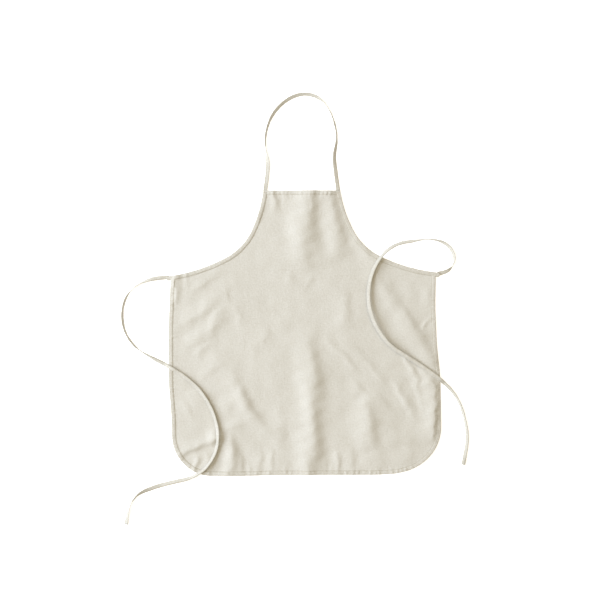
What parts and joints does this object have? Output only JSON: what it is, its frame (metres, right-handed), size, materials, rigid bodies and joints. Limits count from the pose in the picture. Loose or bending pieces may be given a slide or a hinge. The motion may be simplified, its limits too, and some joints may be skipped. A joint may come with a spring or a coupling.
{
  "type": "artist smock apron",
  "caption": "Flat-laid canvas bib apron with bound edges and rounded lower corners, a tape neck loop and two tape waist ties.",
  "frame": {"origin": "under the middle of the apron's outline, without its neck loop and ties, on the surface that it lies on", "axes": "+X to the viewer's right with the apron face up, +Y from the skirt towards the neck loop, +Z out of the front face"},
  "size_m": [0.7805, 0.9717, 0.0121],
  "materials": {
    "canvas": "unbleached plain-weave cotton canvas, matt",
    "binding": "folded cotton binding, matt",
    "tape": "folded cotton tape, matt",
    "thread": "cotton sewing thread"
  },
  "bodies": {
    "apron": {"body_panel": "canvas", "bib_top_hem": "canvas", "armhole_binding_left": "binding", "armhole_binding_right": "binding", "edge_binding": "binding", "hem_stitching": "thread", "armhole_stitching_left": "thread", "armhole_stitching_right": "thread", "edge_stitching": "thread", "neck_tack_left": "thread", "neck_tack_right": "thread", "waist_tack_left": "thread", "waist_tack_right": "thread"},
    "neck_loop": {"neck_loop": "tape", "neck_loop_stitching": "thread"},
    "left_tie": {"waist_tie_left": "tape", "tie_stitching_left": "thread", "tie_tack_left": "thread", "tie_end_fold_left": "tape"},
    "right_tie": {"waist_tie_right": "tape", "tie_stitching_right": "thread", "tie_tack_right": "thread", "tie_end_fold_right": "tape"}
  },
  "joints": [
    {"name": "neck_loop_fold", "type": "hinge", "parent": "apron", "child": "neck_loop", "pos_m": [-0.0063, 0.3208, 0.0028], "axis": [1, 0, 0], "range_deg": [0, 165]},
    {"name": "left_tie_swing", "type": "hinge", "parent": "apron", "child": "left_tie", "pos_m": [-0.3043, 0.1252, 0.001], "axis": [0, 0, -1], "range_deg": [0, 50]},
    {"name": "right_tie_swing", "type": "hinge", "parent": "apron", "child": "right_tie", "pos_m": [0.2993, 0.1336, 0.001], "axis": [0, 0, 1], "range_deg": [0, 50]}
  ]
}
